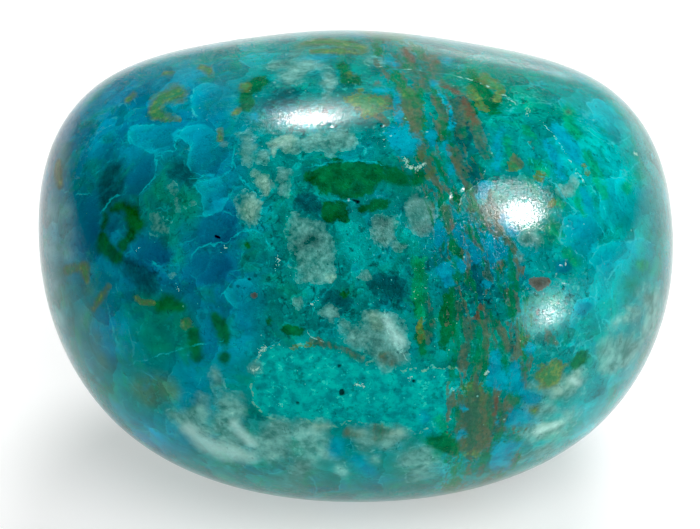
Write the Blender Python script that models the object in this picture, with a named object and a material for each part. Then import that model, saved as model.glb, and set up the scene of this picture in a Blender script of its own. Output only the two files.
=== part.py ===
"""A chrysocolla pebble, tumbled and polished, in one piece, resting on its worn belly.

Metres, +Z up. The pebble's long way lies along X and its broad face looks towards -Y. The origin is under the
middle of the pebble, on the surface that it rests on.
"""

import math

import bmesh
import bpy
from mathutils import Vector

PEBBLE_NAME = "chrysocolla_pebble"

# How far the pebble reaches from its middle.
LEFT_REACH = 0.0175
RIGHT_REACH = 0.0178
FRONT_REACH = 0.0140
BACK_REACH = 0.0135
TOP_REACH = 0.0122
BELLY_REACH = 0.01325

# 2 is an ellipsoid, and a higher number has squarer shoulders.
BELLY_SQUARENESS = 2.15
CREST_SQUARENESS = 2.6
CREST_LEAN = math.radians(30)  # the square crest leans this far back from upright
CREST_STARTS = -0.25  # heights along the crest, as shares of the reach, between which the one becomes the other
CREST_FULL = 0.55

# What the tumbler left uneven: (direction, height, spread). A worn flat has a height below zero.
SWELLS_AND_WORN_FLATS = {
    "left_shoulder": (Vector((-0.90, 0.20, 0.34)), 0.00105, math.radians(25)),
    "right_shoulder": (Vector((0.86, 0.23, 0.45)), 0.00052, math.radians(26)),
    "left_belly": (Vector((-0.69, -0.36, -0.62)), 0.00012, math.radians(20)),
    "right_belly": (Vector((0.82, -0.29, -0.50)), 0.00016, math.radians(24)),
    "left_crest_flat": (Vector((-0.50, 0.43, 0.74)), -0.00060, math.radians(24)),
    "right_crest_flat": (Vector((0.57, 0.43, 0.69)), -0.00090, math.radians(25)),
    "top_flat": (Vector((0.20, 0.40, 0.80)), -0.00020, math.radians(25)),
    "right_end_flat": (Vector((0.95, -0.10, -0.30)), -0.00020, math.radians(25)),
    "right_ridge": (Vector((0.52, -0.84, 0.10)), 0.00022, math.radians(17)),
    "brow": (Vector((-0.15, -0.72, 0.68)), 0.00020, math.radians(16)),
    "back_flat": (Vector((-0.35, 0.92, -0.10)), -0.00045, math.radians(30)),
    "back_swell": (Vector((0.60, 0.78, -0.25)), 0.00040, math.radians(24)),
    "back_left_flat": (Vector((-0.80, 0.55, -0.30)), -0.00040, math.radians(24)),
}

RESTING_WEAR = 0.00085  # how much of the belly is worn off flat
RESTING_EDGE = 0.00050  # how softly the flat runs into the belly

FACE_SQUARES = 20  # squares along each side of the six-sided grid that covers the pebble

STONE_COLOUR = (0.005, 0.250, 0.290, 1.0)
STONE_ROUGHNESS = 0.12


def clear_scene():
    for thing in list(bpy.data.objects):
        bpy.data.objects.remove(thing)


def blend(low, high, value):
    """0 up to low, 1 from high on, and smooth in between."""
    share = min(max((value - low) / (high - low), 0.0), 1.0)
    return share * share * (3.0 - 2.0 * share)


def evened(corner):
    """The direction of a point on a cube, moved so that the cube's squares come out much alike on a sphere."""
    return Vector(math.tan(side * math.pi / 4) for side in corner).normalized()


def rounded_body(direction):
    """The point of the plain body in this direction: an ellipsoid below and in front, and squarer at the crest."""
    along_crest = direction.z * math.cos(CREST_LEAN) + direction.y * math.sin(CREST_LEAN)
    crest = blend(CREST_STARTS, CREST_FULL, along_crest)
    squareness = BELLY_SQUARENESS + (CREST_SQUARENESS - BELLY_SQUARENESS) * crest
    reaches = (
        RIGHT_REACH if direction.x > 0 else LEFT_REACH,
        BACK_REACH if direction.y > 0 else FRONT_REACH,
        TOP_REACH if direction.z > 0 else BELLY_REACH,
    )
    total = sum(abs(side / reach) ** squareness for side, reach in zip(direction, reaches))
    return direction * total ** (-1.0 / squareness)


def unevenness(direction):
    """How far the swells and worn flats move the surface out in this direction."""
    height = 0.0
    for towards, rise, spread in SWELLS_AND_WORN_FLATS.values():
        away = direction.angle(towards) / spread
        height += rise * math.exp(-away * away)
    return height


def worn_flat(height):
    """The height of a point once the belly is worn off at the resting plane, with a soft edge round the flat."""
    floor = RESTING_WEAR - BELLY_REACH
    near = max(RESTING_EDGE - abs(height - floor), 0.0) / RESTING_EDGE
    return max(height, floor) + near * near * RESTING_EDGE / 4


def pebble_point(direction):
    point = rounded_body(direction) + direction * unevenness(direction)
    point.z = worn_flat(point.z)
    return point


def stand_on_origin(mesh):
    """Moves the mesh so that the origin is in the middle of its length and depth, at its foot."""
    corners = [[pick(v.co[side] for v in mesh.vertices) for side in range(3)] for pick in (min, max)]
    middle = (Vector(corners[0]) + Vector(corners[1])) / 2
    middle.z = corners[0][2]
    for vertex in mesh.vertices:
        vertex.co -= middle


def polished_stone():
    material = bpy.data.materials.new("polished_chrysocolla")
    material.use_nodes = True
    shader = material.node_tree.nodes["Principled BSDF"]
    shader.inputs["Base Color"].default_value = STONE_COLOUR
    shader.inputs["Roughness"].default_value = STONE_ROUGHNESS
    shader.inputs["Metallic"].default_value = 0.0
    return material


def build_pebble(collection):
    grid = bmesh.new()
    bmesh.ops.create_cube(grid, size=2.0)
    bmesh.ops.subdivide_edges(grid, edges=grid.edges[:], cuts=FACE_SQUARES - 1, use_grid_fill=True)
    for vertex in grid.verts:
        vertex.co = pebble_point(evened(vertex.co))
    mesh = bpy.data.meshes.new(PEBBLE_NAME)
    grid.to_mesh(mesh)
    grid.free()
    stand_on_origin(mesh)
    mesh.shade_smooth()
    mesh.materials.append(polished_stone())
    pebble = bpy.data.objects.new(PEBBLE_NAME, mesh)
    collection.objects.link(pebble)
    return pebble


def main():
    clear_scene()
    collection = bpy.data.collections.new("chrysocolla_specimen")
    bpy.context.scene.collection.children.link(collection)
    build_pebble(collection)


main()
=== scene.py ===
import math

import bmesh
import bpy
import numpy as np
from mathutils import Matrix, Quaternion, Vector
from mathutils.kdtree import KDTree


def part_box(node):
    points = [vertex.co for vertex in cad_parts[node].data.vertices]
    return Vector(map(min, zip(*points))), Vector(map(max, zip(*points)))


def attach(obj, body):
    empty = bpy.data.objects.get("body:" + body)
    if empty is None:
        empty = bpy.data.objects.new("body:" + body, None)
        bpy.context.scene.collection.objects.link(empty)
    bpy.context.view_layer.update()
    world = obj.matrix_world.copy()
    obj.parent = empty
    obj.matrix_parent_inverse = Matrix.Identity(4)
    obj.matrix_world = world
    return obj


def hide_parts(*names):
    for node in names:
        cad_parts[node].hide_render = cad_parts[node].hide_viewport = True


mm = 0.001

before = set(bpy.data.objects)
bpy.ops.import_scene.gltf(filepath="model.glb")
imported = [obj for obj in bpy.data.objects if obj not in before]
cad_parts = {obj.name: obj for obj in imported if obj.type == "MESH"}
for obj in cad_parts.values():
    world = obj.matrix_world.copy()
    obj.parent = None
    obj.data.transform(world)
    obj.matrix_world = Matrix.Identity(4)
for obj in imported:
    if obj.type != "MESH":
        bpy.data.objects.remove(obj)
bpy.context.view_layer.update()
print("frame loaded")

frontView = {  # the stone as it is seen from the front, in a frame 700 wide that its markings are placed on
    "perMm": 17.7,
    "middle": (355.5, 258.8),
}


def onFace(x, y):  # in mm to the right of the stone's middle and above it, as it is seen
    middleX, middleY = frontView["middle"]
    return (x - middleX) / frontView["perMm"], (middleY - y) / frontView["perMm"]


view = {  # where the stone is seen from: its broad face, from above
    "lookDown": math.radians(30),
    "distance": 230,  # in mm, as the next three
    "middle": Vector((0.0, 0.29, 12.4)),  # the middle of the stone
    "aimRight": -0.31,  # how far beside the middle the lens points
    "aimUp": -0.32,
    "lens": 209.4,  # for a sensor 36 mm wide
    "clearOf": 10,  # mm in front of the lens where nothing is drawn
    "hiddenBelow": 0.1,  # a surface that faces the viewer less than this counts as hidden
}
towardsViewer = Vector((0, -math.cos(view["lookDown"]), math.sin(view["lookDown"])))
viewRight = Vector((1, 0, 0))
viewUp = Vector((0, math.sin(view["lookDown"]), math.cos(view["lookDown"])))
aim = view["middle"] + viewRight * view["aimRight"] + viewUp * view["aimUp"]
lensPlace = aim + towardsViewer * view["distance"]


def addCamera():
    bpy.ops.object.camera_add(location=lensPlace * mm)
    camera = bpy.context.object
    camera.rotation_euler = (math.pi / 2 - view["lookDown"], 0, 0)
    camera.data.lens = view["lens"]
    camera.data.clip_start = view["clearOf"] * mm
    bpy.context.scene.camera = camera


studio = {
    "floorWidth": 3.0,
    "floorColour": (0.55, 0.55, 0.55, 1),
    "floorGlow": (0.495, 0.492, 0.489, 1),  # the floor is a light table
    "floorRoughness": 0.9,
    "floorShine": 0.1,
    "skyBehind": 0.35,  # how bright the sky is behind the stone, and how dark on the viewer's side
    "skyInFront": 0.08,
    "skyFade": (-0.4, 0.8),  # how far back, from -1 to 1, it begins to brighten and ends
    "blackLevel": 0.031,  # what the camera records as black
    # name: direction to it in degrees (from +Y towards +X, and up), distance, width and height in mm, roll in
    # degrees, watts, and whether it lights the stone and floor or only shows as a gleam
    "lamps": {
        "backSoft": (24, 55, 500, 300, 300, 0, 2.2, "light"),
        "frontSoft": (155, 50, 500, 420, 420, 0, 2.05, "light"),
        "backGleam": (-6.6, 50.2, 250, 18, 10, 60, 0.17, "gleam"),
        "backHalo": (-6.6, 50.2, 250, 90, 36, 66, 0.09, "gleam"),
        "rightGleam": (124.9, 38.9, 250, 80, 48, 61, 1.1, "gleam"),
        "rightHalo": (120.5, 46.5, 250, 158, 100, 58, 0.82, "gleam"),
        "lowGleam": (126.8, -2.9, 80, 12, 5.5, -45, 0.012, "gleam"),
        "lowHalo": (127.2, -5.2, 80, 38, 21, -52, 0.018, "gleam"),
        "rimGleam": (10, 3, 400, 90, 8, 0, 0.02, "gleam"),
    },
}


def addFloor():
    bpy.ops.mesh.primitive_plane_add(size=studio["floorWidth"])
    floor = bpy.context.object
    floor.name = "floor"
    paint = bpy.data.materials.new("pale floor")
    paint.use_nodes = True
    shader = paint.node_tree.nodes["Principled BSDF"]
    shader.inputs["Base Color"].default_value = studio["floorColour"]
    shader.inputs["Emission Color"].default_value = studio["floorGlow"]
    shader.inputs["Emission Strength"].default_value = 1
    shader.inputs["Roughness"].default_value = studio["floorRoughness"]
    shader.inputs["Specular IOR Level"].default_value = studio["floorShine"]
    floor.data.materials.append(paint)


def addLamps():
    for name, (turn, height, distance, width, tall, roll, watts, purpose) in studio["lamps"].items():
        turn = math.radians(turn)
        height = math.radians(height)
        level = math.cos(height)
        away = Vector((math.sin(turn) * level, math.cos(turn) * level, math.sin(height)))
        bpy.ops.object.light_add(type="AREA", location=(view["middle"] + away * distance) * mm)
        lamp = bpy.context.object
        lamp.name = name
        lamp.rotation_mode = "QUATERNION"
        lamp.rotation_quaternion = away.to_track_quat("Z", "Y") @ Quaternion((0, 0, 1), math.radians(roll))
        lamp.data.shape = "ELLIPSE"
        lamp.data.size = width * mm
        lamp.data.size_y = tall * mm
        lamp.data.energy = watts
        lamp.visible_camera = False
        lamp.visible_glossy = purpose == "gleam"
        lamp.visible_diffuse = purpose == "light"


def addSky():
    world = bpy.data.worlds.new("studio")
    world.use_nodes = True
    bpy.context.scene.world = world
    nodes = world.node_tree.nodes
    links = world.node_tree.links
    direction = nodes.new("ShaderNodeTexCoord")
    parts = nodes.new("ShaderNodeSeparateXYZ")
    fade = nodes.new("ShaderNodeMapRange")
    fade.interpolation_type = "SMOOTHSTEP"
    fade.inputs["From Min"].default_value = studio["skyFade"][0]
    fade.inputs["From Max"].default_value = studio["skyFade"][1]
    fade.inputs["To Min"].default_value = studio["skyInFront"]
    fade.inputs["To Max"].default_value = studio["skyBehind"]
    links.new(direction.outputs["Generated"], parts.inputs[0])
    links.new(parts.outputs["Y"], fade.inputs["Value"])
    links.new(fade.outputs[0], nodes["Background"].inputs["Strength"])
    nodes["Background"].inputs["Color"].default_value = (1, 1, 1, 1)
    look = bpy.context.scene.view_settings
    look.view_transform = "Standard"
    look.use_curve_mapping = True
    look.curve_mapping.black_level = (studio["blackLevel"],) * 3


pebble = {
    "squares": 14,  # along each side of the cube it starts from
    "fineLevels": 3,
    "cuts": 2,  # how finely a pit's surroundings are divided
    "reach": 1.6,  # how far that goes, in radiuses of the pit
    "margin": 0.1,  # and in mm past that
    "core": 0.35,  # the share of the pit's radius that sinks whole
}

pits = [  # place across and down the front view, radius there, and depth in mm
    (343, 392, 4.5, 0.12), (405, 160, 2.5, 0.04), (408, 165, 3, 0.06), (415, 168, 3, 0.07),
    (424, 164, 2.5, 0.05), (298, 403, 3, 0.05), (475, 80, 3, 0.05), (448, 75, 2.5, 0.04),
    (490, 88, 2.5, 0.04), (506, 96, 2.5, 0.04), (527, 111, 3, 0.06), (353, 201, 3, 0.05),
    (358, 203, 3, 0.05), (217, 237, 3, 0.04), (381, 126, 3, 0.04), (414, 381, 3, 0.05), (339, 366, 3, 0.04),
    (249, 279, 3, 0.04), (486, 373, 3, 0.05), (523, 198, 2, 0.02), (551, 314, 2, 0.02),
    (330, 126, 2.5, 0.03), (274, 131, 2.5, 0.03), (454, 197, 3, 0.05), (463, 190, 3, 0.05),
    (561, 268, 2.5, 0.04), (566, 262, 2.5, 0.03), (563, 284, 2.5, 0.04), (588, 193, 2.5, 0.03),
    (549, 130, 2.5, 0.04), (635, 153, 2.5, 0.04),
]

hiddenPits = {  # on the sides that the front view doesn't show
    "seed": 5,
    "count": 46,
    "above": 1.5,  # mm above the floor, so that the flat that it rests on stays whole
    "radius": (0.12, 0.28),  # mm
    "depthShare": 0.18,
}


def applyModifier(piece, kind, **settings):
    modifier = piece.modifiers.new(kind.lower(), kind)
    for name, value in settings.items():
        setattr(modifier, name, value)
    bpy.ops.object.modifier_apply(modifier=modifier.name)


def addPebble():
    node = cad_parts["chrysocolla_pebble"]
    low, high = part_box("chrysocolla_pebble")
    bpy.ops.object.select_all(action="DESELECT")
    bpy.ops.mesh.primitive_cube_add(size=1, location=view["middle"] * mm)
    piece = bpy.context.object
    piece.name = "polishedPebble"
    bpy.ops.object.mode_set(mode="EDIT")
    bpy.ops.mesh.subdivide(number_cuts=pebble["squares"] - 1)
    bpy.ops.transform.tosphere(value=1)
    bpy.ops.object.mode_set(mode="OBJECT")
    piece.scale = high - low
    bpy.ops.object.transform_apply()
    applyModifier(piece, "SHRINKWRAP", target=node, wrap_method="PROJECT", use_negative_direction=True,
                  use_positive_direction=True)
    level = pebble["fineLevels"]
    applyModifier(piece, "SUBSURF", levels=level, render_levels=level)
    sinkPits(piece)
    bpy.ops.object.shade_smooth()
    return piece


def sinkPits(piece):
    face = Face(piece)
    wanted = []
    for x, y, radius, depth in pits:
        wanted.append((face.pointAt(*onFace(x, y)), radius / frontView["perMm"], depth))
    dice = np.random.default_rng(hiddenPits["seed"])
    aboveFlat = face.points[:, 2] > hiddenPits["above"] * mm
    hidden = np.flatnonzero((face.facing < view["hiddenBelow"]) & aboveFlat)
    for index in dice.choice(hidden, hiddenPits["count"], replace=False):
        radius = dice.uniform(*hiddenPits["radius"])
        wanted.append((face.points[index], radius, radius * hiddenPits["depthShare"]))
    bpy.ops.object.mode_set(mode="EDIT")
    bpy.ops.mesh.select_mode(type="FACE")
    mesh = bmesh.from_edit_mesh(piece.data)
    tree = KDTree(len(wanted))
    for number, (place, _, _) in enumerate(wanted):
        tree.insert(place, number)
    tree.balance()
    for square in mesh.faces:
        _, number, gap = tree.find(square.calc_center_median())
        square.select = gap < wanted[number][1] * pebble["reach"] * mm + pebble["margin"] * mm
    bmesh.update_edit_mesh(piece.data)
    bpy.ops.mesh.subdivide(number_cuts=pebble["cuts"], smoothness=1)
    bpy.ops.mesh.select_mode(type="VERT")
    mesh = bmesh.from_edit_mesh(piece.data)
    tree = KDTree(len(mesh.verts))
    for number, point in enumerate(mesh.verts):
        tree.insert(point.co, number)
    tree.balance()
    for place, radius, depth in wanted:
        bpy.ops.mesh.select_all(action="DESELECT")
        mesh = bmesh.from_edit_mesh(piece.data)
        mesh.verts.ensure_lookup_table()
        for _, number, _ in tree.find_range(place, radius * pebble["core"] * mm) or [tree.find(place)]:
            mesh.verts[number].select = True
        mesh.select_flush(True)
        bmesh.update_edit_mesh(piece.data)
        bpy.ops.transform.shrink_fatten(value=-depth * mm, use_proportional_edit=True,
                                        proportional_edit_falloff="SMOOTH", proportional_size=radius * mm)
    bpy.ops.object.mode_set(mode="OBJECT")


# What the stone is made of, as strokes of a round brush on the front view. A stroke is a line of dabs,
# and a dab is its place across and down the front view, and its radius.
minerals = {
    "quartz": [
        [(298, 432, 8), (314, 446, 9)], [(340, 468, 8)], [(322, 450, 8), (330, 458, 6)],
        [(171, 187, 4), (177, 197, 6), (178, 207, 4)], [(158, 219, 8), (157, 228, 10)], [(186, 149, 4)],
        [(192, 202, 3)], [(275, 64, 7), (290, 60, 6)],
        [(309, 62, 6), (300, 69, 7), (288, 78, 7), (282, 79, 5)],
        [(326, 66, 6), (331, 80, 6), (328, 94, 6)], [(369, 59, 5), (379, 61, 6)],
        [(319, 143, 9), (342, 139, 10)], [(248, 141, 8), (245, 153, 8), (248, 165, 6)], [(262, 159, 8)],
        [(281, 172, 7), (283, 186, 7)], [(248, 197, 6), (248, 209, 10), (250, 222, 5)],
        [(419, 194, 8), (421, 209, 12), (424, 226, 10)], [(384, 224, 11), (386, 238, 5)],
        [(397, 246, 4), (404, 246, 4)], [(300, 220, 10), (318, 226, 10), (329, 238, 8)],
        [(296, 222, 8), (294, 238, 8), (300, 250, 9)],
        [(305, 262, 14), (314, 262, 15), (326, 262, 11), (326, 274, 8)], [(172, 274, 5)],
        [(216, 376, 6), (221, 387, 9)], [(202, 395, 5), (197, 405, 8), (201, 414, 9)],
        [(171, 414, 5), (185, 422, 8), (203, 430, 10)], [(226, 409, 14), (223, 426, 13), (235, 440, 12)],
        [(230, 398, 10), (242, 397, 6)], [(272, 431, 16), (260, 446, 12), (280, 450, 12)],
        [(302, 423, 7), (306, 440, 9), (314, 455, 10), (323, 443, 8)], [(340, 469, 7)],
        [(368, 438, 12), (385, 442, 9)], [(402, 435, 9)], [(375, 457, 6)],
        [(409, 455, 12), (423, 460, 12), (413, 469, 12)], [(302, 467, 10)],
        [(344, 322, 5), (351, 333, 8), (363, 340, 6)], [(372, 314, 7), (378, 326, 8), (384, 340, 7)],
        [(392, 315, 7), (399, 329, 9), (402, 345, 6)], [(380, 357, 7), (392, 360, 9), (404, 357, 4)],
        [(330, 311, 9)], [(296, 302, 6)], [(359, 280, 4), (367, 275, 4)], [(255, 367, 6)], [(533, 238, 11)],
        [(485, 209, 4), (488, 218, 5)], [(573, 182, 6), (566, 191, 6)], [(519, 257, 6)],
        [(578, 372, 8), (572, 383, 9), (561, 377, 6)], [(559, 391, 9), (547, 390, 6), (530, 384, 4)],
        [(574, 411, 6), (571, 423, 5)], [(523, 431, 9), (543, 428, 11), (559, 426, 9)],
        [(537, 452, 9), (551, 447, 8), (523, 457, 7)], [(606, 350, 7)], [(626, 307, 6), (637, 312, 8)],
        [(614, 325, 7), (622, 316, 5)], [(647, 297, 12), (654, 312, 12), (647, 330, 10)], [(640, 343, 6)],
    ],
    "cream": [
        [(352, 430, 3), (362, 433, 4)], [(385, 434, 5), (398, 432, 5)], [(318, 425, 4), (327, 426, 4)],
        [(372, 314, 5), (378, 326, 6)], [(278, 142, 4), (290, 143, 6), (286, 151, 4)],
        [(256, 174, 6), (263, 182, 6), (266, 192, 3)], [(248, 203, 5), (249, 212, 6)],
        [(318, 426, 3.5), (328, 426, 3.5)], [(577, 374, 5), (573, 383, 6)], [(560, 391, 6)],
        [(544, 428, 7), (556, 426, 6)], [(225, 145, 3)], [(331, 277, 5)], [(269, 142, 2), (275, 155, 2)],
    ],
    "milk": [
        # painted reflection: this long soft pale streak along the lower left stands in for a reflection of
        # the floor; the other strokes are milky quartz
        [(188, 428, 5), (200, 439, 7), (214, 447, 8), (234, 453, 8), (252, 457, 5)],
        [(385, 318, 3), (392, 330, 4), (399, 342, 4)], [(571, 379, 2), (578, 383, 2)],
        [(536, 432, 2), (556, 425, 2)], [(286, 145, 3)], [(234, 424, 4), (252, 444, 4)],
    ],
    "malachite": [
        [(103, 236, 6), (104, 247, 8), (114, 256, 8)],
        [(112, 210, 4), (122, 206, 6), (131, 212, 8), (136, 224, 8), (131, 236, 6), (123, 245, 6)],
        [(106, 216, 4), (103, 227, 5)], [(260, 81, 7), (252, 88, 6)], [(246, 93, 6), (246, 106, 6)],
        [(343, 65, 5), (346, 80, 6), (357, 82, 6)],
        [(306, 176, 4), (318, 174, 8), (333, 178, 12), (349, 178, 14), (366, 174, 12), (378, 174, 8)],
        [(366, 187, 8), (359, 194, 5)], [(330, 205, 6), (334, 214, 6)], [(346, 219, 4)],
        [(362, 209, 5), (372, 204, 5), (386, 202, 5)], [(394, 176, 8), (404, 180, 6)],
        [(419, 157, 6), (412, 152, 4)], [(421, 176, 7), (414, 184, 5)],
        [(472, 73, 6), (480, 90, 8), (490, 103, 12)], [(472, 106, 5), (468, 118, 4)],
        [(443, 124, 4), (441, 140, 5)], [(420, 262, 5), (418, 291, 6), (419, 310, 5)],
        [(447, 297, 6), (447, 326, 8), (443, 345, 5)], [(421, 330, 5), (423, 352, 5)],
        [(170, 302, 9), (160, 306, 6), (182, 306, 5)], [(194, 333, 5), (197, 357, 6)],
        [(214, 316, 5), (221, 326, 7), (225, 340, 5)], [(225, 359, 6)], [(270, 322, 4)],
        [(285, 330, 4), (299, 330, 5)], [(345, 295, 4)], [(461, 254, 5), (450, 245, 6)],
        [(443, 440, 9), (454, 450, 7)], [(433, 439, 7)], [(583, 357, 6), (574, 364, 6)],
        [(457, 198, 4), (460, 209, 4)], [(499, 260, 3)], [(248, 246, 3)], [(59, 163, 4), (60, 186, 4)],
    ],
    "jade": [
        [(568, 110, 6), (570, 124, 6), (576, 134, 6)], [(588, 154, 4), (599, 186, 6), (604, 196, 4)],
        [(626, 189, 7)], [(641, 264, 6)], [(554, 229, 8)], [(506, 140, 5), (512, 155, 5)],
        [(528, 128, 5), (536, 138, 4)], [(578, 203, 4), (584, 212, 3)], [(560, 205, 5)],
        [(536, 164, 6), (544, 172, 5)], [(566, 252, 5), (574, 262, 4)],
        [(418, 262, 7), (420, 280, 6), (418, 298, 7), (421, 314, 5)], [(440, 420, 5), (446, 432, 5)],
    ],
    "olive": [
        [(306, 43, 4), (330, 42, 5), (350, 45, 5), (364, 49, 4)], [(433, 169, 3), (437, 177, 2.5)],
        [(184, 94, 5), (174, 93, 6), (162, 96, 6), (156, 104, 6), (154, 113, 6), (161, 118, 4),
         (170, 119, 3), (180, 120, 2)],
        [(201, 68, 3), (209, 70, 4), (211, 76, 3)], [(165, 74, 3), (171, 73, 3)],
        [(128, 100, 3), (134, 94, 3)], [(220, 131, 3), (220, 138, 3)], [(59, 163, 3.5), (60, 184, 3.5)],
        [(245, 86, 6)], [(235, 113, 2.5), (240, 110, 2.5)], [(313, 51, 3.5), (336, 50, 4), (362, 53, 3)],
        [(351, 74, 4)], [(362, 99, 7), (374, 102, 8), (386, 102, 6)],
        [(484, 78, 6), (501, 90, 5), (498, 98, 5)], [(468, 90, 4), (483, 108, 5)], [(428, 176, 3)],
        [(420, 324, 4), (423, 342, 4)], [(66, 270, 4), (83, 267, 5), (87, 280, 3)],
        [(109, 286, 3), (101, 297, 3.5), (94, 309, 3)], [(135, 296, 2.5), (142, 302, 2.5), (152, 303, 2)],
        [(187, 323, 5)], [(294, 347, 3), (313, 345, 3)], [(547, 378, 10), (554, 371, 9)],
        [(474, 395, 12), (480, 412, 14), (476, 430, 12), (474, 446, 11)], [(540, 177, 4)], [(552, 203, 4)],
        [(513, 164, 7)], [(406, 91, 8), (411, 106, 11), (416, 122, 8), (417, 130, 4)],
        [(524, 337, 5), (524, 352, 5)], [(534, 410, 5)], [(584, 166, 3), (587, 174, 3)],
    ],
    "iron": [
        [(346, 432, 4), (356, 436, 3)], [(380, 436, 4), (372, 440, 3)], [(391, 352, 3), (384, 357, 4)],
        [(530, 140, 2.5), (534, 147, 2)], [(513, 158, 4), (520, 166, 3)], [(585, 168, 2), (588, 175, 2)],
        [(517, 262, 3), (521, 270, 2.5)], [(404, 52, 6), (411, 62, 8)], [(431, 58, 8), (434, 73, 5)],
        [(411, 74, 5), (424, 83, 4), (436, 103, 3.5), (440, 112, 3)], [(378, 83, 3.5)],
        [(379, 116, 5), (389, 124, 2.5)], [(443, 126, 6), (445, 109, 5)],
        [(442, 84, 5), (457, 91, 6), (468, 109, 6), (475, 126, 6), (482, 143, 6), (488, 156, 4)],
        [(457, 154, 8), (463, 172, 9)], [(448, 102, 5), (458, 118, 6), (462, 134, 6)],
        [(447, 209, 5), (450, 226, 6)], [(491, 189, 3), (495, 206, 3), (501, 226, 3.5), (515, 251, 3)],
        [(434, 155, 4), (430, 160, 3)], [(425, 295, 3), (432, 326, 4), (429, 341, 3)],
        [(458, 304, 4), (456, 317, 4)], [(480, 309, 3.5), (475, 326, 4), (470, 338, 3)],
        [(466, 346, 5), (466, 366, 4)], [(488, 343, 3.5), (481, 364, 4)],
        [(498, 322, 4), (508, 347, 4), (511, 361, 3)], [(497, 393, 3), (493, 416, 3), (497, 433, 3.5)],
        [(456, 404, 2.5), (455, 430, 2.5), (462, 450, 2.5)], [(502, 408, 4), (509, 405, 5), (516, 400, 4)],
        [(504, 430, 5)], [(347, 433, 5)], [(378, 430, 6), (386, 432, 4)], [(550, 337, 5), (555, 343, 4)],
        [(311, 341, 3), (332, 345, 3.5), (351, 352, 3.5), (363, 360, 3)], [(479, 245, 3), (486, 250, 3)],
        [(495, 254, 2.5), (507, 266, 3)], [(568, 112, 3)], [(392, 361, 5)],
    ],
    "rust": [
        [(533, 282, 4), (548, 281, 4), (541, 287, 4)], [(254, 295, 4)], [(404, 50, 3), (412, 60, 4)],
        [(436, 62, 4)], [(444, 86, 3), (458, 93, 3), (468, 108, 3), (475, 124, 3)], [(433, 326, 3)],
        [(481, 306, 2.5), (476, 320, 2.5)], [(497, 395, 2.5), (494, 414, 2.5)], [(378, 83, 2.5)],
    ],
    "sky": [
        [(546, 142, 4), (556, 160, 5), (562, 176, 4)], [(503, 140, 2), (498, 158, 2.5), (496, 170, 3)],
        [(389, 59, 4), (396, 66, 3)], [(314, 57, 2), (336, 57, 2)],
        [(396, 93, 3), (397, 109, 3.5), (402, 123, 3)], [(396, 132, 8), (407, 141, 10), (406, 151, 5)],
        [(432, 133, 6), (434, 143, 4)], [(434, 83, 4), (437, 90, 3)], [(376, 91, 2), (391, 90, 2)],
        [(447, 60, 4)], [(255, 116, 4)],
        [(440, 95, 2.5), (450, 109, 2.5), (452, 126, 2.5), (447, 146, 2.5), (451, 172, 3), (450, 186, 3)],
        [(485, 186, 7), (480, 196, 5)], [(496, 148, 4), (501, 131, 3)],
        [(496, 357, 5), (497, 374, 8), (500, 386, 5)],
        [(516, 364, 4), (514, 386, 6), (526, 397, 7), (535, 400, 5)], [(531, 348, 6)],
        [(521, 412, 7), (528, 419, 5)], [(498, 423, 3)], [(502, 447, 9), (498, 462, 9), (518, 445, 5)],
        [(425, 417, 6)], [(338, 441, 6), (336, 452, 6)], [(358, 462, 7), (368, 470, 6)],
        [(444, 268, 6), (448, 282, 5)], [(493, 244, 9), (500, 252, 7)], [(470, 247, 5)], [(463, 268, 4)],
        [(487, 284, 5)], [(556, 130, 6), (571, 146, 7), (577, 159, 6)], [(584, 190, 4), (589, 209, 5)],
        [(462, 435, 5)], [(463, 409, 4)], [(440, 225, 5), (441, 240, 5)], [(504, 216, 5), (511, 232, 6)],
    ],
    "granular": [
        [(272, 378, 18), (300, 382, 28), (345, 388, 31), (390, 396, 28), (425, 397, 26), (448, 385, 16),
         (455, 380, 11)],
        [(280, 362, 12), (300, 366, 14)],
    ],
    "white": [
        [(404, 159, 1.5), (408, 166, 2), (416, 168, 2.5), (426, 163, 1.5)], [(486, 373, 2.5)],
        [(138, 250, 1)], [(223, 250, 1.5), (226, 247, 1)], [(528, 110, 1), (526, 114, 1.5)],
        [(278, 258, 1.5), (278, 267, 1.5)], [(358, 384, 2), (363, 386, 1)], [(410, 379, 1.5)],
        [(279, 404, 2)], [(255, 368, 3.5)], [(635, 154, 1.5)], [(486, 296, 1.5)], [(454, 418, 2)],
        [(453, 390, 1.5)], [(274, 345, 1), (262, 349, 1.5), (257, 357, 1.5)], [(566, 262, 1)],
        [(317, 62, 1)], [(178, 289, 2)], [(312, 305, 1), (320, 298, 1)],
    ],
    "black": [
        [(342, 392, 3.5)], [(298, 403, 2)], [(353, 200, 1.5), (358, 202, 2)],
        [(216, 236, 1.5), (220, 238, 1)], [(139, 266, 1.5)], [(339, 366, 2)], [(414, 381, 2)],
        [(249, 279, 2)], [(381, 126, 1.5)],
    ],
}

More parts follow.
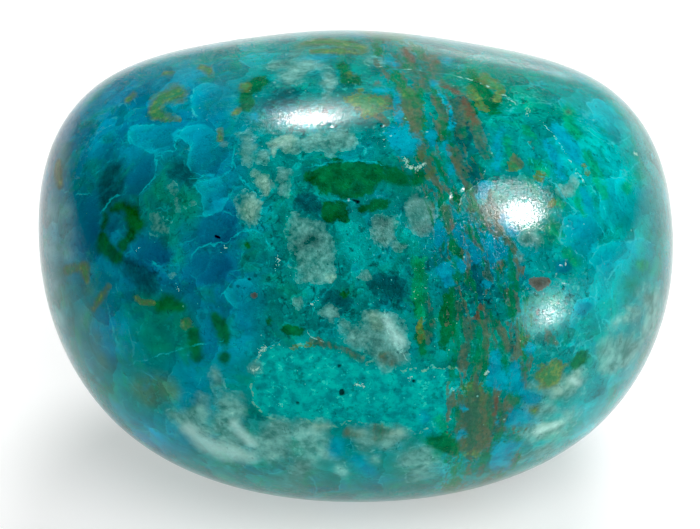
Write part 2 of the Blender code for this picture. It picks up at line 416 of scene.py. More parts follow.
# The same as closed outlines, for the pieces with corners.
outlines = {
    "lightCell": [
        [(191, 98), (196, 88), (207, 81), (219, 88), (231, 88), (231, 103), (216, 113), (199, 119),
         (192, 111)],
        [(128, 133), (131, 126), (153, 124), (178, 129), (176, 149), (149, 153), (136, 146), (129, 141)],
        [(177, 136), (186, 128), (204, 124), (219, 136), (221, 159), (214, 176), (196, 174), (188, 164),
         (191, 146)],
        [(194, 184), (219, 178), (229, 192), (224, 211), (204, 216), (202, 196)],
        [(224, 291), (232, 281), (246, 279), (258, 287), (266, 300), (262, 312), (246, 314), (231, 306)],
        [(588, 103), (599, 98), (614, 110), (624, 129), (624, 143), (616, 143), (606, 129), (593, 116)],
        [(556, 125), (563, 129), (578, 153), (576, 164), (566, 153), (556, 143)],
        [(566, 218), (577, 213), (592, 217), (603, 233), (596, 250), (583, 256), (570, 249), (560, 238)],
        [(590, 261), (598, 247), (612, 241), (630, 242), (634, 252), (622, 262), (613, 272), (606, 284)],
        [(630, 242), (640, 238), (652, 243), (657, 258), (648, 272), (632, 276), (620, 270), (622, 262),
         (634, 252)],
        [(598, 182), (622, 178), (642, 190), (648, 210), (634, 226), (612, 228), (600, 214)],
        [(578, 300), (593, 296), (600, 312), (596, 330), (580, 334), (568, 326)],
    ],
    "deepCell": [
        [(201, 219), (222, 211), (237, 226), (236, 239), (216, 249), (196, 242)],
        [(190, 261), (199, 254), (223, 250), (232, 262), (225, 285), (204, 286), (192, 274)],
        [(133, 250), (139, 237), (158, 240), (174, 254), (169, 265), (153, 264), (136, 259)],
        [(217, 206), (232, 202), (239, 214), (236, 230), (224, 236), (214, 226)],
        [(140, 158), (155, 153), (156, 172), (150, 186), (138, 196), (124, 196), (128, 178)],
        [(80, 200), (96, 196), (100, 214), (98, 236), (96, 252), (84, 250), (76, 226)],
        [(556, 262), (568, 258), (574, 266), (566, 274), (556, 272)],
        [(576, 306), (588, 300), (592, 306), (584, 316), (576, 314)],
    ],
    "darkTeal": [
        [(108, 164), (120, 166), (128, 178), (123, 194), (110, 206), (101, 209), (98, 196), (101, 178)],
        [(169, 172), (176, 164), (186, 163), (194, 170), (198, 184), (190, 190), (182, 182), (172, 182)],
        [(273, 94), (281, 88), (295, 87), (300, 93), (296, 102), (284, 106), (274, 102)],
        [(296, 196), (310, 194), (324, 200), (322, 214), (308, 214), (298, 208)],
        [(366, 280), (376, 274), (388, 276), (396, 274), (406, 284), (402, 298), (388, 302), (376, 298)],
        [(120, 256), (138, 262), (158, 272), (160, 286), (146, 296), (134, 286), (124, 274)],
        [(318, 290), (336, 290), (352, 296), (354, 312), (338, 318), (322, 308)],
        [(450, 100), (464, 96), (474, 112), (476, 134), (470, 152), (458, 146), (452, 124)],
        [(470, 160), (484, 168), (482, 184), (472, 196), (462, 186)],
        [(462, 268), (478, 264), (492, 276), (490, 292), (474, 298), (462, 288)],
    ],
    "quartz": [
        [(276, 71), (286, 68), (306, 56), (316, 58), (317, 68), (305, 76), (290, 86), (277, 83)],
        [(267, 64), (276, 57), (292, 54), (302, 56), (290, 64), (276, 70)],
        [(237, 146), (243, 135), (252, 133), (259, 141), (257, 153), (250, 166), (241, 158)],
        [(273, 140), (291, 138), (301, 143), (298, 154), (286, 158), (278, 146)],
        [(249, 172), (270, 174), (268, 196), (260, 189)],
        [(237, 199), (250, 194), (262, 202), (260, 224), (250, 229), (238, 216)],
        [(275, 170), (288, 166), (292, 180), (288, 196), (278, 196), (273, 184)],
        [(302, 140), (316, 131), (330, 134), (344, 129), (357, 138), (352, 151), (338, 150), (330, 158),
         (318, 149), (308, 152)],
        [(287, 228), (291, 217), (300, 212), (310, 212), (318, 222), (328, 229), (335, 240), (334, 254),
         (338, 263), (335, 275), (324, 283), (309, 284), (299, 279), (294, 268), (287, 258), (291, 246)],
        [(406, 198), (413, 190), (424, 188), (432, 195), (437, 207), (434, 222), (427, 234), (417, 237),
         (409, 229), (411, 218), (406, 209)],
        [(370, 219), (379, 213), (391, 216), (398, 226), (394, 238), (384, 247), (375, 243), (372, 232)],
        [(363, 312), (380, 309), (392, 314), (402, 323), (411, 342), (409, 360), (399, 367), (385, 369),
         (372, 360), (366, 352), (372, 343), (363, 326)],
        [(341, 332), (350, 322), (362, 323), (369, 334), (366, 345), (354, 347), (343, 341)],
        [(561, 376), (585, 368), (581, 388), (571, 397), (550, 400), (531, 390), (543, 387), (561, 388)],
        [(512, 428), (537, 419), (561, 419), (568, 433), (543, 442), (516, 440)],
        [(609, 326), (616, 319), (626, 300), (631, 312), (642, 309), (640, 323), (628, 326), (619, 326),
         (611, 333)],
        [(641, 296), (655, 288), (664, 296), (662, 320), (652, 340), (642, 334)],
        [(167, 220), (158, 212), (148, 220), (148, 232), (157, 238), (167, 234)],
        [(170, 186), (177, 184), (183, 196), (182, 208), (176, 212), (170, 202)],
        [(208, 374), (216, 368), (226, 378), (226, 392), (216, 396), (209, 388)],
        [(168, 412), (180, 414), (196, 396), (204, 390), (212, 404), (206, 424), (196, 434), (180, 430),
         (170, 420)],
        [(214, 404), (226, 394), (242, 396), (248, 412), (240, 430), (224, 436), (214, 424)],
        [(252, 436), (262, 420), (276, 416), (292, 424), (292, 444), (280, 458), (262, 456), (252, 448)],
        [(298, 418), (310, 418), (322, 424), (324, 444), (318, 462), (304, 456), (298, 440)],
        [(350, 438), (358, 430), (374, 431), (388, 428), (401, 434), (403, 444), (392, 452), (377, 449),
         (364, 454), (354, 447)],
        [(399, 452), (411, 444), (424, 444), (436, 451), (440, 463), (432, 474), (418, 478), (405, 474),
         (397, 464)],
        [(596, 352), (604, 340), (620, 330), (640, 334), (652, 330), (644, 352), (630, 368), (614, 376),
         (600, 370)],
        [(566, 372), (584, 368), (588, 380), (580, 398), (566, 404), (556, 398), (560, 388)],
        [(520, 404), (536, 398), (552, 402), (560, 410), (552, 420), (534, 422), (520, 418)],
        [(500, 478), (524, 470), (548, 462), (566, 450), (574, 452), (556, 470), (532, 482), (506, 488)],
        [(566, 408), (576, 404), (580, 412), (577, 424), (568, 428), (563, 420)],
    ],
    "cream": [
        [(276, 141), (290, 139), (298, 143), (294, 152), (287, 155), (280, 147)],
        [(250, 172), (268, 175), (267, 192), (260, 188)],
        [(238, 201), (250, 196), (261, 204), (258, 220), (249, 226), (240, 214)],
        [(564, 378), (580, 372), (577, 386), (568, 392), (560, 388)],
        [(536, 424), (556, 422), (562, 432), (546, 438), (534, 434)],
    ],
    "malachite": [
        [(301, 174), (313, 168), (333, 162), (356, 161), (378, 163), (386, 169), (382, 182), (374, 194),
         (363, 201), (343, 197), (326, 192), (313, 184), (303, 182)],
        [(323, 201), (349, 201), (349, 214), (336, 224), (326, 219)],
        [(356, 207), (369, 201), (388, 201), (382, 209), (363, 216)],
    ],
    "olive": [
        [(149, 113), (153, 98), (166, 90), (178, 85), (189, 91), (184, 101), (166, 102), (161, 108),
         (166, 113), (178, 116), (182, 122), (169, 120), (151, 120)],
        [(346, 98), (361, 91), (379, 98), (382, 113), (373, 118), (356, 113)],
        [(535, 376), (543, 366), (557, 361), (568, 364), (557, 385), (538, 387)],
    ],
    "iron": [
        [(399, 103), (412, 93), (424, 113), (422, 128), (412, 133), (402, 118)],
        [(457, 395), (468, 392), (492, 393), (499, 406), (495, 423), (492, 438), (488, 456), (471, 456),
         (461, 447), (454, 430), (456, 412)],
        [(398, 44), (414, 48), (422, 62), (420, 78), (408, 74), (402, 60)],
        [(424, 50), (438, 54), (440, 70), (434, 84), (426, 72)],
    ],
    "sky": [
        [(386, 134), (402, 126), (412, 133), (419, 143), (411, 156), (399, 154), (391, 143)],
        [(490, 350), (497, 349), (504, 364), (502, 385), (492, 387), (488, 371)],
        [(516, 361), (521, 364), (518, 374), (526, 387), (542, 397), (537, 402), (516, 395), (507, 392),
         (514, 378), (511, 368)],
        [(493, 443), (506, 439), (526, 444), (514, 454), (508, 468), (494, 470), (486, 462), (496, 454)],
        [(508, 412), (518, 406), (530, 416), (536, 422), (520, 424), (506, 424)],
    ],
    "granular": [
        [(251, 392), (258, 359), (265, 350), (278, 343), (292, 350), (310, 343), (330, 350), (347, 354),
         (361, 364), (375, 369), (409, 371), (440, 367), (462, 371), (468, 380), (462, 388), (454, 392),
         (450, 400), (447, 415), (440, 425), (421, 431), (392, 429), (375, 422), (358, 421), (340, 426),
         (316, 426), (301, 417), (285, 419), (268, 416), (254, 404)],
    ],
}

# Thin lines, drawn through points.
lines = {
    "vein": [
        [(193, 90), (190, 100), (192, 110), (199, 117)],
        [(129, 127), (130, 138), (135, 145), (146, 152), (156, 153), (176, 150), (174, 139), (182, 129),
         (192, 122)],
        [(156, 154), (156, 171), (153, 179), (143, 191)], [(65, 191), (75, 194), (86, 194)],
        [(103, 209), (110, 200), (123, 194)],
        [(191, 148), (188, 163), (192, 173), (207, 176), (222, 176), (230, 171)],
        [(194, 184), (203, 180), (216, 178)], [(198, 216), (210, 214), (222, 211), (232, 214)],
        [(239, 139), (232, 155), (236, 172), (250, 187), (263, 202), (260, 216)],
        [(191, 262), (195, 250), (207, 244), (222, 244)], [(235, 236), (246, 229), (260, 232), (269, 243)],
        [(153, 262), (162, 267), (172, 265)], [(224, 292), (232, 282), (244, 279)],
        [(312, 167), (332, 162), (362, 160), (379, 164)], [(321, 199), (336, 200), (351, 201)],
        [(108, 309), (116, 340), (123, 360)], [(128, 364), (148, 359), (166, 354), (185, 347), (218, 342)],
        [(548, 169), (556, 184), (566, 202), (581, 214), (592, 216)], [(530, 147), (532, 166)],
        [(538, 176), (554, 183)], [(594, 202), (593, 216), (604, 234)],
        [(597, 178), (622, 178), (637, 163)], [(580, 172), (592, 188), (603, 203), (608, 218), (613, 232)],
        [(589, 131), (604, 142), (619, 144), (627, 138)], [(590, 261), (598, 247), (612, 241), (630, 242)],
        [(590, 261), (603, 274), (606, 284), (613, 272)], [(597, 280), (595, 312), (600, 330)],
        [(630, 242), (640, 238), (652, 243)], [(551, 228), (560, 243), (576, 252), (583, 256)],
        [(558, 240), (563, 222), (575, 214)], [(573, 319), (566, 330), (561, 343)],
        [(606, 320), (617, 327)], [(640, 100), (650, 130), (652, 160)],
        [(256, 357), (261, 352), (277, 343)], [(465, 371), (468, 381), (454, 390), (447, 398)],
        [(60, 345), (75, 372), (98, 400)], [(440, 95), (447, 110)], [(399, 196), (401, 215), (398, 230)],
        [(436, 190), (437, 215), (434, 236)], [(330, 288), (322, 296), (309, 305)],
    ],
    "crack": [
        [(454, 75), (464, 78), (474, 80)], [(480, 83), (490, 87)], [(501, 94), (506, 96)],
        [(511, 100), (514, 102)], [(543, 124), (549, 130)], [(553, 134), (558, 141), (561, 147)],
        [(566, 155), (569, 160)], [(578, 173), (583, 180)], [(404, 69), (420, 70)], [(366, 66), (383, 66)],
        [(486, 167), (481, 181), (463, 194), (460, 204)], [(384, 312), (389, 336), (408, 360)],
        [(306, 330), (311, 336), (320, 341)],
    ],
}

# Soft tints under the minerals, in this order: the colour, how strongly it covers, and its dabs.
tints = [
    ("blue", 1, [(60, 150, 60), (130, 110, 55), (200, 110, 45)]),
    ("blue", 1, [(80, 240, 45), (150, 270, 45), (215, 270, 40)]),
    ("blue", 0.8, [(215, 170, 30), (222, 215, 24)]),
    ("teal", 0.35, [(250, 248, 18)]),
    ("blue", 0.8, [(110, 330, 30), (200, 350, 30), (230, 330, 30), (200, 400, 30), (150, 440, 25)]),
    ("brightBlue", 0.7, [(126, 113, 9), (108, 128, 9), (90, 144, 9)]),
    ("brightBlue", 0.5, [(165, 85, 14), (190, 75, 14)]),
    ("deepBlue", 0.8, [(84, 209, 12), (88, 235, 13), (92, 249, 10)]),
    ("deepBlue", 0.6, [(150, 195, 22), (130, 180, 12)]),
    ("darkTeal", 0.9, [(119, 168, 9), (112, 185, 9), (106, 199, 7)]),
    ("darkTeal", 0.8, [(172, 168, 9), (187, 169, 9), (200, 189, 7)]),
    ("seaGreen", 0.7, [(160, 190, 22), (175, 215, 22), (190, 200, 14), (172, 240, 10), (178, 258, 9)]),
    ("darkTeal", 0.7, [(140, 305, 16), (166, 312, 18), (161, 330, 20), (184, 350, 12)]),
    ("darkTeal", 0.5, [(130, 262, 10), (150, 280, 12), (140, 292, 10)]),
    ("blue", 0.9, [(103, 318, 11), (113, 330, 12), (110, 352, 10)]),
    ("brightBlue", 0.6, [(100, 315, 8), (106, 335, 8), (112, 352, 6)]),
    ("brightBlue", 0.5, [(130, 325, 10), (136, 340, 8)]),
    # painted reflection: a pale tint along the left rim, standing in for the bright floor's reflection there
    ("rimReflectionBlue", 0.9, [(52, 215, 14), (66, 213, 10), (66, 233, 10), (52, 250, 14), (66, 253, 9),
        (54, 285, 12), (58, 320, 10), (66, 350, 9)]),
    ("seaGreen", 0.6, [(60, 165, 9), (64, 150, 8), (582, 140, 14)]),
    ("greyGreen", 0.45, [(85, 321, 9), (96, 347, 9), (103, 364, 8)]),
    ("brightBlue", 0.5, [(150, 430, 14), (180, 440, 14), (240, 340, 14)]),
    ("brightBlue", 0.4, [(120, 420, 24), (175, 440, 22), (205, 395, 20), (110, 345, 18)]),
    ("brightTeal", 0.55, [(300, 98, 30), (325, 92, 24), (258, 60, 22), (350, 70, 16)]),
    ("teal", 1, [(290, 100, 45), (330, 80, 40)]),
    ("darkTeal", 0.7, [(285, 97, 11), (272, 108, 9)]),
    ("teal", 1, [(300, 190, 40), (280, 230, 30), (350, 240, 40), (400, 260, 40)]),
    ("brightTeal", 0.9, [(350, 285, 16), (372, 263, 22), (400, 235, 14), (352, 245, 14), (345, 225, 10)]),
    ("brightTeal", 0.6, [(270, 210, 12), (275, 245, 12), (280, 290, 14)]),
    ("darkTeal", 0.6, [(300, 195, 12), (305, 205, 10), (320, 212, 9)]),
    ("darkTeal", 0.4, [(388, 285, 12), (372, 283, 9), (400, 300, 10)]),
    ("teal", 1, [(300, 320, 35), (360, 310, 40)]),
    ("seaGreen", 0.8, [(460, 80, 30), (500, 90, 35), (530, 110, 30)]),
    ("darkTeal", 0.7, [(465, 130, 14), (468, 150, 14), (474, 175, 12)]),
    ("teal", 1, [(500, 140, 25), (530, 140, 25), (540, 200, 22)]),
    ("skyTint", 0.7, [(455, 225, 22), (470, 260, 28), (495, 260, 24)]),
    ("seaGreen", 0.6, [(395, 178, 14), (412, 190, 12), (430, 150, 14), (445, 165, 12)]),
    ("darkTeal", 0.5, [(470, 300, 24), (480, 330, 24)]),
    ("seaGreen", 0.7, [(450, 330, 20), (470, 350, 24), (500, 340, 20)]),
    ("aqua", 1, [(600, 130, 50), (620, 200, 45), (580, 180, 30)]),
    ("aqua", 1, [(600, 290, 50), (570, 310, 40), (620, 260, 40)]),
    ("brightAqua", 0.8, [(590, 290, 22), (610, 262, 20), (640, 262, 18), (606, 121, 18), (570, 160, 12)]),
    ("seaGreen", 0.6, [(630, 190, 12), (556, 200, 12), (566, 124, 14)]),
    ("brightAqua", 0.8, [(616, 300, 18), (640, 290, 14), (604, 320, 14), (600, 150, 14), (616, 170, 12)]),
    ("seaGreen", 0.7, [(640, 265, 13), (632, 285, 12), (555, 235, 14), (590, 330, 14), (575, 260, 10)]),
    ("skyTint", 0.45, [(583, 232, 18), (602, 258, 14)]),
    ("brightTeal", 0.9, [(280, 375, 28), (350, 385, 34), (410, 395, 30)]),
    ("teal", 0.8, [(230, 400, 30), (290, 440, 40), (400, 450, 40)]),
    ("greyGreen", 0.4, [(230, 440, 30), (300, 450, 30), (420, 465, 26), (300, 480, 20)]),
    ("aqua", 0.9, [(560, 400, 40), (600, 400, 35), (540, 450, 35)]),
    ("brightAqua", 0.8, [(600, 400, 24), (622, 372, 20), (585, 430, 18), (560, 458, 14)]),
    ("oliveTint", 0.85, [(140, 388, 10), (152, 385, 12), (166, 388, 12), (150, 399, 10), (172, 394, 8)]),
    ("seaGreen", 0.8, [(146, 300, 10), (165, 310, 16), (182, 325, 14), (140, 330, 14), (160, 345, 14),
        (190, 348, 9)]),
    ("oliveTint", 0.5, [(62, 272, 8), (84, 268, 7), (88, 290, 6), (90, 310, 7), (96, 335, 8), (102, 358, 7),
        (66, 300, 7)]),
    ("greyGreen", 0.25, [(560, 455, 22), (500, 480, 22), (600, 360, 14)]),
    ("seaGreen", 0.8, [(470, 400, 24), (470, 440, 24), (440, 445, 14)]),
    ("brightTeal", 0.6, [(420, 400, 18), (400, 395, 12)]),
    ("darkTeal", 0.5, [(600, 392, 10), (630, 395, 10)]),
    ("oliveTint", 0.8, [(318, 42, 12), (342, 44, 13), (362, 48, 10), (300, 46, 8)]),
]

# Lighter and darker places in whatever lies there: how much, and its dabs. Most are the stone's own tone; the
# ones marked below are painted light and shade.
toneAndPaintedLight = [
    (0.13, [(258, 180, 20), (258, 220, 20), (258, 258, 18), (60, 215, 16), (140, 380, 24), (140, 412, 24),
        (182, 415, 20), (500, 458, 18)]),
    (-0.12, [(220, 100, 18), (460, 100, 18), (580, 140, 16)]),
    # painted light: this and the next four make the lower part of the stone lighter, standing in for light
    # from the floor beneath
    (0.14, [(530, 448, 26), (570, 425, 26), (460, 470, 22), (600, 350, 24), (340, 478, 24), (250, 470, 20)]),
    (0.12, [(220, 455, 24), (300, 476, 26), (380, 476, 28), (460, 466, 28), (540, 446, 28), (600, 360, 36),
        (570, 420, 34), (600, 300, 26)]),
    (0.1, [(110, 370, 36), (180, 405, 36), (100, 135, 26)]),
    (0.16, [(150, 430, 22), (200, 450, 26), (280, 474, 26), (360, 476, 30), (440, 470, 28)]),
    (0.12, [(600, 320, 24), (640, 330, 20)]),
    (-0.14, [(330, 82, 10), (325, 142, 12), (345, 140, 10), (284, 178, 8)]),
    (-0.4, [(300, 246, 8), (310, 238, 8), (318, 242, 7)]),
    (0.2, [(312, 266, 12), (326, 268, 10)]),
    (0.2, [(572, 383, 10), (545, 430, 14), (560, 420, 10), (650, 315, 14), (620, 318, 8), (530, 470, 16)]),
    (-0.2, [(400, 182, 16), (440, 170, 18), (455, 140, 14), (425, 205, 16), (395, 165, 16)]),
    # painted shade and light: this darkens the left and the next lightens the right, to suit where the soft
    # lamps stand
    (-0.1, [(80, 250, 60), (110, 350, 50)]),
    (0.07, [(610, 200, 60), (600, 320, 60)]),
    (-0.5, [(541, 283, 6)]),
    (0.12, [(299, 222, 7)]),
    (0.3, [(330, 276, 6)]),
    (0.2, [(388, 316, 8), (393, 328, 9), (400, 342, 9)]),
    (-0.4, [(394, 361, 8)]),
    (-0.2, [(377, 342, 6)]),
    (-0.25, [(378, 326, 5)]),
    (0.3, [(420, 215, 7)]),
    (-0.3, [(416, 196, 6), (424, 230, 6)]),
    (-0.4, [(219, 381, 4)]),
    (-0.35, [(198, 401, 5)]),
    (0.28, [(230, 420, 14), (250, 440, 14), (300, 440, 14), (322, 444, 10), (310, 452, 9)]),
    (0.2, [(374, 442, 9), (420, 460, 12), (340, 470, 9)]),
    (-0.4, [(312, 179, 6)]),
    (0.2, [(350, 180, 10)]),
    (-0.3, [(606, 350, 4)]),
    (-0.3, [(60, 170, 8)]),
    (0.25, [(316, 457, 6), (340, 469, 7), (375, 457, 6)]),
    (-0.25, [(302, 467, 10)]),
    (0.3, [(574, 412, 6)]),
    (-0.35, [(384, 222, 6)]),
]

# How coarse and speckled the stone is, over the calm that it has elsewhere.
coarseness = [
    (-0.2, [(90, 330, 40), (110, 380, 40), (180, 450, 40), (350, 490, 40), (250, 480, 40)]),
    (-0.2, [(250, 430, 30), (320, 445, 30), (390, 455, 30), (620, 350, 30)]),
    (0.15, [(590, 180, 50), (540, 140, 30)]),
    (0.25, [(600, 150, 36), (612, 236, 36), (575, 290, 30)]),
    (0.22, [(600, 405, 22), (622, 365, 20), (575, 445, 22), (540, 465, 18)]),
    (-0.2, [(430, 150, 26), (440, 190, 24), (400, 185, 16)]),
    (0.15, [(130, 130, 24), (100, 140, 20), (200, 100, 20), (150, 420, 24)]),
    (0.55, [(300, 120, 60), (300, 250, 60), (380, 250, 60), (360, 130, 50)]),
    (0.6, [(440, 120, 40), (470, 200, 45), (480, 280, 50), (470, 350, 50)]),
    (0.5, [(520, 100, 40), (540, 200, 40), (530, 290, 40), (560, 330, 40)]),
    (0.4, [(300, 330, 50), (380, 330, 40), (250, 450, 50), (480, 430, 50)]),
    (0.3, [(175, 210, 30), (160, 270, 30), (250, 200, 40)]),
]

brush = {
    "farOff": 1.5,  # mm past which a stroke is as good as absent
    "deepest": 1.5,
    "thinnest": 0.1,
    "edgeOn": 0.05,  # a surface that faces the viewer less than this takes no outline
    "pastCell": 0.3,  # mm past a cell's outline where its shading goes on
    "depthShare": 0.4,  # a mm away from the viewer counts as this much, so strokes reach round the edges
    "evenRadius": 0.45,  # a smaller stroke counts as deeper than it is, so that a ragged edge doesn't eat it
    "shadedWay": (0.8, -0.6),  # the side of a cell that lies away from the light
    "calm": 0.35,  # how coarse the stone is where nothing above says more or less
    "leastCoarse": 0.15,
    "mostCoarse": 1.2,
    "seed": 7,
}
hiddenTints = {  # soft tints on the sides that the front view doesn't show
    "count": 26,
    "radius": (3, 8),  # mm
    "strength": 0.8,
    "fade": 0.25,  # how far a surface faces the viewer where they end
    "colours": ["blue", "deepBlue", "darkTeal", "seaGreen", "aqua", "brightTeal", "greyGreen"],
}
hiddenStrokes = {  # and strokes there
    "count": 260,
    "parts": 3,
    "length": (0.3, 1.5),  # of a part, in radiuses
    "radius": (0.5, 1),  # of a part, as a share of the stroke's own
    "fade": 3,  # mm that a stroke thins by where a surface faces the viewer
}
hiddenKinds = {  # how often each mineral comes there, and its least and greatest radius in mm
    "quartz": (9, 0.35, 1.1),
    "cream": (2, 0.25, 0.45),
    "malachite": (6, 0.25, 0.8),
    "olive": (4, 0.2, 0.6),
    "iron": (4, 0.18, 0.4),
    "sky": (5, 0.2, 0.5),
    "granular": (1.5, 0.8, 1.8),
    "darkTeal": (5, 0.4, 1.1),
    "deepCell": (6, 0.5, 1.1),
    "lightCell": (8, 0.6, 1.3),
}
band = {  # the iron-stained seam that runs right round the stone, crossing its length
    # turn about the stone's length in degrees, from the top towards the viewer: place along it, half width
    "route": [(0, 2.8, 2.0), (30, 3.9, 2.2), (55, 6.2, 2.4), (80, 7.3, 2.6), (105, 7.2, 2.6), (135, 6.6, 2.4),
              (165, 5.0, 2.0), (200, 2.0, 1.5), (240, -1.0, 1.6), (280, 0.5, 1.8), (320, 1.8, 1.8),
              (360, 2.8, 2.0)],
    "around": 0.21,  # mm along the band for each degree
}


def facePlaces(points):  # across, up and near, in mm, of points in metres
    fromLens = points / mm - np.array(lensPlace)
    depth = -fromLens @ np.array(towardsViewer)
    larger = view["distance"] / depth
    across = fromLens @ np.array(viewRight) * larger + view["aimRight"]
    up = fromLens @ np.array(viewUp) * larger + view["aimUp"]
    return np.stack([across, up, view["distance"] - depth], axis=1)


class Face:  # the stone's points, as the brush sees them
    def __init__(self, piece):
        mesh = piece.data
        count = len(mesh.vertices)
        self.points = np.empty(count * 3)
        mesh.vertices.foreach_get("co", self.points)
        self.points = self.points.reshape(-1, 3)
        normals = np.empty(count * 3)
        mesh.vertices.foreach_get("normal", normals)
        self.normals = normals.reshape(-1, 3)
        self.places = facePlaces(self.points)
        self.facing = self.normals @ np.array(towardsViewer)
        front = self.facing > 0
        self.front = self.places[front]
        self.flatten = np.array([1, 1, brush["depthShare"]])
        self.flatter = self.places * self.flatten

    def dabAt(self, x, y):
        across, up = onFace(x, y)
        return np.array([across, up, self.nearAt(across, up)]) * self.flatten

    def pointAt(self, across, up):
        away = (self.places[:, 0] - across) ** 2 + (self.places[:, 1] - up) ** 2
        away[self.facing <= 0] = np.inf
        return self.points[away.argmin()]

    def nearAt(self, across, up):
        away = (self.front[:, 0] - across) ** 2 + (self.front[:, 1] - up) ** 2
        return self.front[away.argmin(), 2]


def strokeDistances(places, start, end):
    along = end - start
    length = along @ along
    share = np.clip((places - start) @ along / length, 0, 1) if length > 0 else np.zeros(len(places))
    gap = places - start - share[:, None] * along
    return np.sqrt((gap ** 2).sum(axis=1)), share


def paintStrokes(face, strokes):  # how deep each point lies inside the strokes, in mm
    depth = np.full(len(face.flatter), -brush["farOff"])
    for stroke in strokes:
        dabs = [(face.dabAt(x, y), radius / frontView["perMm"]) for x, y, radius in stroke]
        for (start, startRadius), (end, endRadius) in zip(dabs, dabs[1:] or dabs):
            distance, share = strokeDistances(face.flatter, start, end)
            radius = startRadius + (endRadius - startRadius) * share
            even = (brush["evenRadius"] / np.maximum(radius, brush["thinnest"])) ** 0.5
            depth = np.maximum(depth, (radius - distance) * even)
    return depth


def outlineDepths(face, outline):  # how deep each point on the viewer's side lies inside an outline, in mm
    flat = face.places[:, :2]
    nearest = np.full(len(flat), brush["farOff"])
    crossings = np.zeros(len(flat), int)
    corners = np.array([onFace(*corner) for corner in outline])
    for start, end in zip(corners, np.roll(corners, -1, axis=0)):
        distance, _ = strokeDistances(flat, start, end)
        nearest = np.minimum(nearest, distance)
        above = (start[1] > flat[:, 1]) != (end[1] > flat[:, 1])
        with np.errstate(divide="ignore", invalid="ignore"):
            meets = start[0] + (flat[:, 1] - start[1]) / (end[1] - start[1]) * (end[0] - start[0])
        crossings += above & (flat[:, 0] < meets)
    depth = np.where(crossings % 2 == 1, nearest, -nearest)
    return np.where(face.facing > brush["edgeOn"], depth, -brush["farOff"])


def paintOutlines(face, drawn, depth):
    for outline in drawn:
        depth = np.maximum(depth, outlineDepths(face, outline))
    return np.clip(depth, -brush["farOff"], brush["deepest"])


def paintSides(face):  # where each point lies across its cell, from -1 on the lit side to 1
    sides = np.zeros(len(face.places))
    for outline in outlines["lightCell"] + outlines["deepCell"]:
        corners = np.array([onFace(*corner) for corner in outline])
        middle = corners.mean(axis=0)
        size = np.ptp(corners, axis=0).mean() / 2
        within = outlineDepths(face, outline) > -brush["pastCell"]
        sides[within] = ((face.places[:, :2] - middle) @ np.array(brush["shadedWay"]) / size)[within]
    return sides


def bandPlaces(points):  # across and along the band, and how far inside it, in mm
    turn = np.degrees(np.arctan2(-(points[:, 1] - view["middle"].y), points[:, 2] - view["middle"].z)) % 360
    turns, places, halfWidths = np.array(band["route"]).T
    across = points[:, 0] - np.interp(turn, turns, places)
    return across, turn * band["around"], np.interp(turn, turns, halfWidths) - np.abs(across)


def paintLines(face, drawn):  # which side of the nearest line each point lies on and how far off, in mm
    nearest = np.full(len(face.flatter), brush["farOff"])
    side = nearest.copy()
    for line in drawn:
        ends = [face.dabAt(x, y) for x, y in line]
        for start, end in zip(ends, ends[1:]):
            distance, _ = strokeDistances(face.flatter, start, end)
            closer = distance < nearest
            along = end - start
            cross = along[0] * (face.flatter[:, 1] - start[1]) - along[1] * (face.flatter[:, 0] - start[0])
            side[closer] = (np.sign(cross) * distance)[closer]
            nearest[closer] = distance[closer]
    return side, nearest


def softDab(face, x, y, radius):
    place = face.dabAt(x, y)
    distance, _ = strokeDistances(face.flatter, place, place)
    return np.exp(-(distance * frontView["perMm"] / radius) ** 2)


def paintTints(face, colours):
    ground = np.tile(np.array(colours["teal"]), (len(face.flatter), 1))
    for name, strength, dabs in tints:
        for dab in dabs:
            ground += (np.array(colours[name]) - ground) * strength * softDab(face, *dab)[:, None]
    return ground


def paintShades(face, dabbed):
    shade = np.zeros(len(face.flatter))
    for amount, dabs in dabbed:
        for dab in dabs:
            shade += amount * softDab(face, *dab)
    return shade


def paintHidden(face, fields, colours, ground):
    dice = np.random.default_rng(brush["seed"])
    names = list(hiddenKinds)
    odds = np.array([hiddenKinds[name][0] for name in names])
    points = face.points / mm
    hidden = np.flatnonzero(face.facing < view["hiddenBelow"])
    fade = hiddenTints["fade"]
    for _ in range(hiddenTints["count"]):
        where = points[dice.choice(hidden)]
        radius = dice.uniform(*hiddenTints["radius"])
        name = dice.choice(hiddenTints["colours"])
        distance = np.sqrt(((points - where) ** 2).sum(axis=1))
        turned = np.clip(fade - face.facing, 0, fade) / fade
        share = hiddenTints["strength"] * np.exp(-(distance / radius) ** 2) * turned
        ground += (np.array(colours[name]) - ground) * share[:, None]
    thinned = np.clip(face.facing, 0, 1) * hiddenStrokes["fade"]
    for _ in range(hiddenStrokes["count"]):
        name = dice.choice(names, p=odds / odds.sum())
        _, small, large = hiddenKinds[name]
        index = dice.choice(hidden)
        where = points[index]
        size = dice.uniform(small, large)
        for _ in range(hiddenStrokes["parts"]):
            drift = np.cross(face.normals[index], dice.normal(size=3))
            end = where + drift / np.linalg.norm(drift) * size * dice.uniform(*hiddenStrokes["length"])
            radius = size * dice.uniform(*hiddenStrokes["radius"])
            distance, _ = strokeDistances(points, where, end)
            fields[name] = np.maximum(fields[name], radius - distance - thinned)
            where = end


def storeNumbers(mesh, name, values):
    attribute = mesh.attributes.new(name, "FLOAT", "POINT")
    attribute.data.foreach_set("value", values.astype(np.float32))


